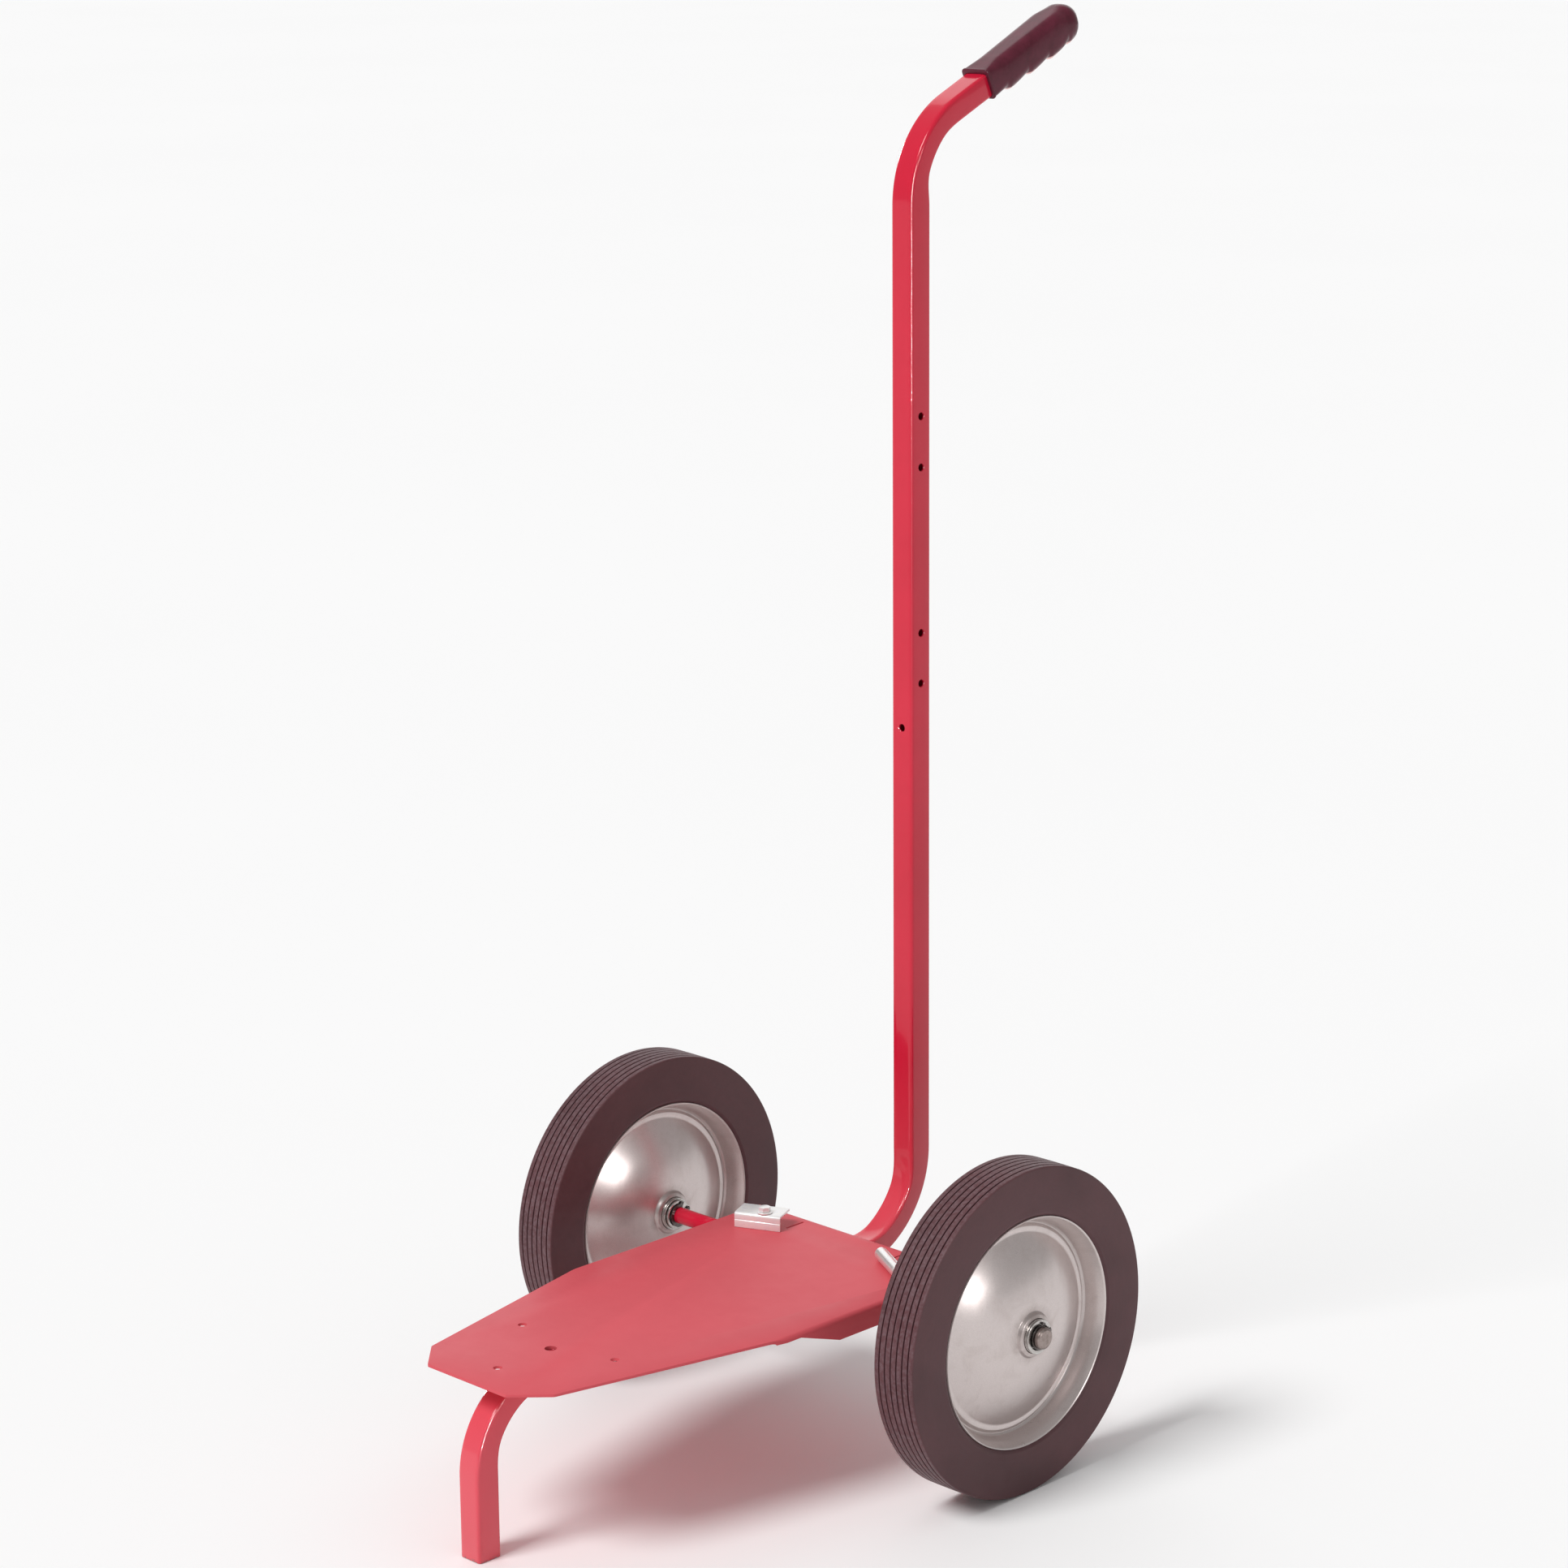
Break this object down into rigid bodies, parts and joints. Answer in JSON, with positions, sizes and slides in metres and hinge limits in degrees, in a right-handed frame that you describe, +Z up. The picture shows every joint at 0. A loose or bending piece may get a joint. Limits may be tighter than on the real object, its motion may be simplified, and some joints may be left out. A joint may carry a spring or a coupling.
{
  "type": "hand truck",
  "caption": "Two-wheeled hand truck on one bent square tube, with a flat folded deck, a front foot, ball-bearing wheels and a grip handle.",
  "frame": {"origin": "on the ground, below the middle of the truck's box", "axes": "+Z up, foot and deck nose towards -Y, handle towards +Y, wheels turn about X"},
  "size_m": [0.5508, 0.7784, 1.2928],
  "materials": {
    "red_paint": "gloss red enamel",
    "silver_paint": "satin silver paint",
    "tyre_rubber": "matt black rubber",
    "grip_vinyl": "dark glossy vinyl",
    "zinc_plate": "bright zinc plating",
    "bearing_steel": "satin steel",
    "dark_steel": "oiled black steel"
  },
  "bodies": {
    "chassis": {"frame_tube": "red_paint", "deck_plate": "red_paint", "handle_grip": "grip_vinyl", "axle_rod": "red_paint", "clamp_bolt": "zinc_plate", "clamp_washer": "zinc_plate", "bar_bolt": "zinc_plate", "bar_washer": "zinc_plate", "left_outer_bearing_cone": "bearing_steel", "left_outer_retaining_ring": "dark_steel", "left_inner_bearing_cone": "bearing_steel", "left_inner_retaining_ring": "dark_steel", "left_inner_washer": "bearing_steel", "left_axle_cap": "dark_steel", "right_outer_bearing_cone": "bearing_steel", "right_outer_retaining_ring": "dark_steel", "right_inner_bearing_cone": "bearing_steel", "right_inner_retaining_ring": "dark_steel", "right_inner_washer": "bearing_steel", "right_axle_cap": "dark_steel"},
    "left_wheel": {"left_tyre": "tyre_rubber", "left_outer_disc": "silver_paint", "left_inner_disc": "silver_paint", "left_hub_sleeve": "bearing_steel", "left_outer_bearing_race": "bearing_steel", "left_inner_bearing_race": "bearing_steel"},
    "left_outer_cage": {"left_outer_ball_cage": "bearing_steel"},
    "left_inner_cage": {"left_inner_ball_cage": "bearing_steel"},
    "right_wheel": {"right_tyre": "tyre_rubber", "right_outer_disc": "silver_paint", "right_inner_disc": "silver_paint", "right_hub_sleeve": "bearing_steel", "right_outer_bearing_race": "bearing_steel", "right_inner_bearing_race": "bearing_steel"},
    "right_outer_cage": {"right_outer_ball_cage": "bearing_steel"},
    "right_inner_cage": {"right_inner_ball_cage": "bearing_steel"},
    "clamp": {"stop_clamp": "zinc_plate"},
    "bar": {"hold_down_bar": "zinc_plate"}
  },
  "joints": [
    {"name": "left_wheel_spin", "type": "hinge", "parent": "chassis", "child": "left_wheel", "pos_m": [-0.23205, 0.05083, 0.1524], "axis": [1, 0, 0], "continuous": true},
    {"name": "right_wheel_spin", "type": "hinge", "parent": "chassis", "child": "right_wheel", "pos_m": [0.23205, 0.05083, 0.1524], "axis": [1, 0, 0], "continuous": true},
    {"name": "left_outer_cage_spin", "type": "hinge", "parent": "chassis", "child": "left_outer_cage", "pos_m": [-0.26155, 0.05083, 0.1524], "axis": [1, 0, 0], "continuous": true},
    {"name": "left_inner_cage_spin", "type": "hinge", "parent": "chassis", "child": "left_inner_cage", "pos_m": [-0.20255, 0.05083, 0.1524], "axis": [1, 0, 0], "continuous": true},
    {"name": "right_outer_cage_spin", "type": "hinge", "parent": "chassis", "child": "right_outer_cage", "pos_m": [0.26155, 0.05083, 0.1524], "axis": [1, 0, 0], "continuous": true},
    {"name": "right_inner_cage_spin", "type": "hinge", "parent": "chassis", "child": "right_inner_cage", "pos_m": [0.20255, 0.05083, 0.1524], "axis": [1, 0, 0], "continuous": true},
    {"name": "clamp_swing", "type": "hinge", "parent": "chassis", "child": "clamp", "pos_m": [-0.0796, 0.05423, 0.1672], "axis": [0, 0, 1], "range_deg": [-40, 40]},
    {"name": "bar_swing", "type": "hinge", "parent": "chassis", "child": "bar", "pos_m": [0.112, 0.03753, 0.1672], "axis": [0, 0, 1], "range_deg": [-35, 35]}
  ],
  "couplings": [
    {"joint": "left_outer_cage_spin", "follows": "left_wheel_spin", "ratio": 0.59},
    {"joint": "left_inner_cage_spin", "follows": "left_wheel_spin", "ratio": 0.59},
    {"joint": "right_outer_cage_spin", "follows": "right_wheel_spin", "ratio": 0.59},
    {"joint": "right_inner_cage_spin", "follows": "right_wheel_spin", "ratio": 0.59}
  ]
}
